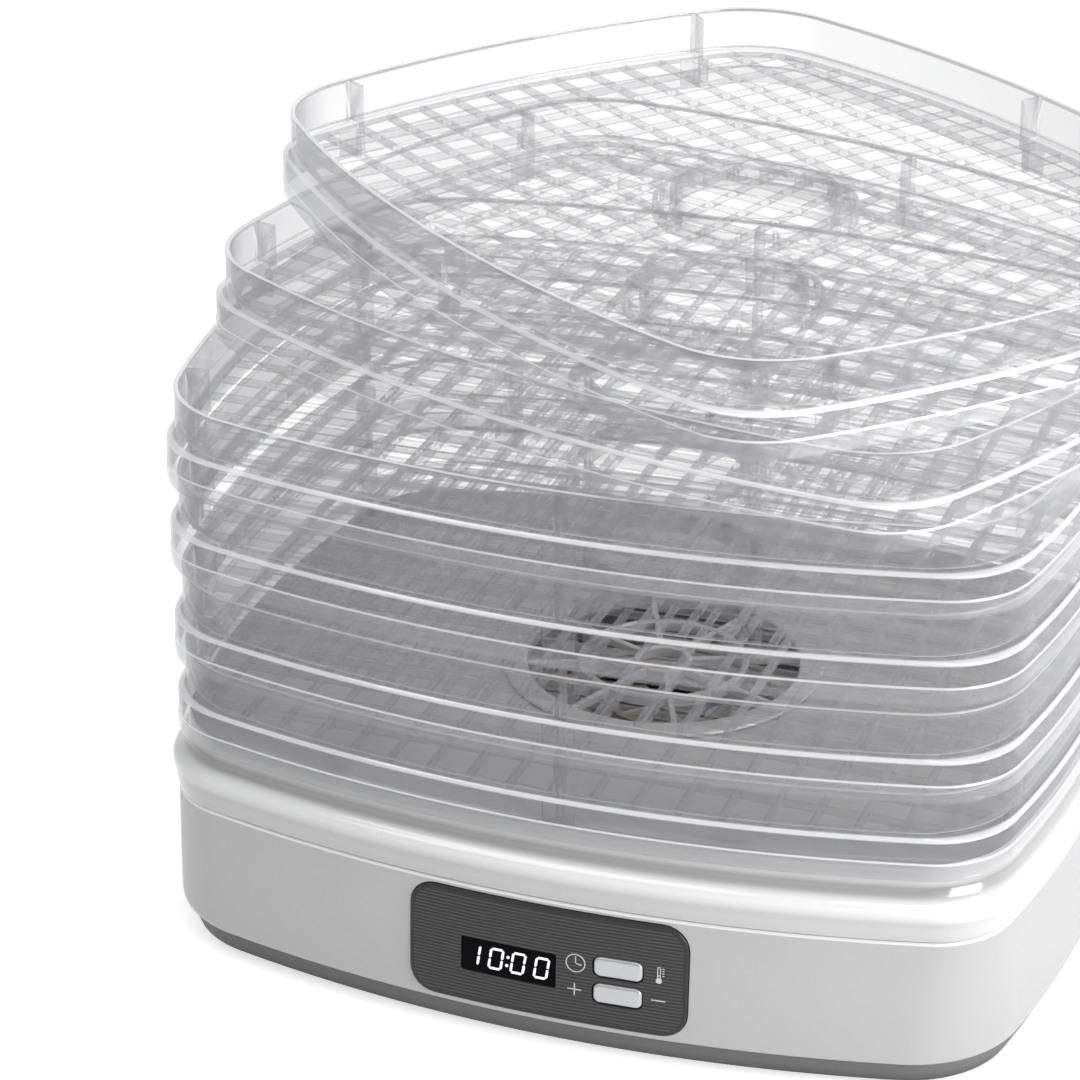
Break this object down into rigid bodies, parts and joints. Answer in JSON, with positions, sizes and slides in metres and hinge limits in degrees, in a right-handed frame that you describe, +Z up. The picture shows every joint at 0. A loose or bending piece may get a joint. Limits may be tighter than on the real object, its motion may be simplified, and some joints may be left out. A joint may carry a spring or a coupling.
{
  "type": "food dehydrator",
  "caption": "Stacking food dehydrator: clear rounded-rectangular lift-off trays with open floors and a central air duct, on a fan-heater base with a display and two rocker keys.",
  "frame": {"origin": "middle of the bounding box, on the floor", "axes": "+Z up, the control panel faces -Y, +X to the right of a person facing the panel"},
  "size_m": [0.3606, 0.3354, 0.2731],
  "materials": {
    "clear_plastic": "clear, glossy",
    "white_plastic": "satin gloss",
    "silver_plastic": "satin silver",
    "grey_plastic": "fine satin",
    "black_plastic": "moulded",
    "panel_grey": "fine horizontal lines",
    "display_black": "gloss",
    "satin_key": "silvered satin",
    "steel": "plain",
    "heating_wire": "oxidised",
    "mica": "layered",
    "circuit_board": "solder mask",
    "rubber": "matte"
  },
  "bodies": {
    "base": {"base_top_shell": "white_plastic", "base_body_shell": "silver_plastic", "base_plate": "grey_plastic", "air_outlet_grille": "white_plastic", "fan_motor": "steel", "motor_bracket": "steel", "fan_shroud": "black_plastic", "heater_frame": "mica", "heater_coil": "heating_wire", "thermostat": "steel", "thermal_fuse": "satin_key", "panel_bezel": "panel_grey", "display_window": "display_black", "display_module": "black_plastic", "control_board": "circuit_board", "power_board": "circuit_board", "power_relay": "black_plastic", "mains_capacitor": "silver_plastic", "terminal_block": "grey_plastic", "transformer": "mica", "cord_gland": "rubber", "foot_1": "rubber", "base_screw_1": "steel", "key_switch_1": "black_plastic", "foot_2": "rubber", "base_screw_2": "steel", "key_switch_2": "black_plastic", "foot_3": "rubber", "base_screw_3": "steel", "key_switch_3": "black_plastic", "foot_4": "rubber", "base_screw_4": "steel", "key_switch_4": "black_plastic"},
    "tray_1": {"tray_1": "clear_plastic"},
    "tray_2": {"tray_2": "clear_plastic"},
    "tray_3": {"tray_3": "clear_plastic"},
    "tray_4": {"tray_4": "clear_plastic"},
    "tray_5": {"tray_5": "clear_plastic"},
    "tray_6": {"tray_6": "clear_plastic"},
    "upper_key": {"rocker_key_upper": "satin_key"},
    "lower_key": {"rocker_key_lower": "satin_key"},
    "fan": {"fan_rotor": "black_plastic"}
  },
  "joints": [
    {"name": "lift_tray_6", "type": "slide", "parent": "base", "child": "tray_6", "axis": [0, 0, 1], "range_m": [0, 0.045]},
    {"name": "lift_tray_5", "type": "slide", "parent": "tray_6", "child": "tray_5", "axis": [0, 0, 1], "range_m": [0, 0.045]},
    {"name": "lift_tray_4", "type": "slide", "parent": "tray_5", "child": "tray_4", "axis": [0, 0, 1], "range_m": [0, 0.045]},
    {"name": "lift_tray_3", "type": "slide", "parent": "tray_4", "child": "tray_3", "axis": [0, 0, 1], "range_m": [0, 0.045]},
    {"name": "lift_tray_2", "type": "slide", "parent": "tray_3", "child": "tray_2", "axis": [0, 0, 1], "range_m": [0, 0.045]},
    {"name": "lift_tray_1", "type": "slide", "parent": "tray_2", "child": "tray_1", "axis": [0, 0, 1], "range_m": [0, 0.045]},
    {"name": "rock_upper_key", "type": "hinge", "parent": "base", "child": "upper_key", "pos_m": [0.00607, -0.13058, 0.0375], "axis": [0, 0, 1], "range_deg": [-2.5, 2.5], "stiffness_Nm_per_rad": 0.2},
    {"name": "rock_lower_key", "type": "hinge", "parent": "base", "child": "lower_key", "pos_m": [0.00607, -0.13058, 0.0275], "axis": [0, 0, 1], "range_deg": [-2.5, 2.5], "stiffness_Nm_per_rad": 0.2},
    {"name": "spin_fan", "type": "hinge", "parent": "base", "child": "fan", "pos_m": [-0.02089, -0.0068, 0.0495], "axis": [0, 0, 1], "continuous": true}
  ]
}
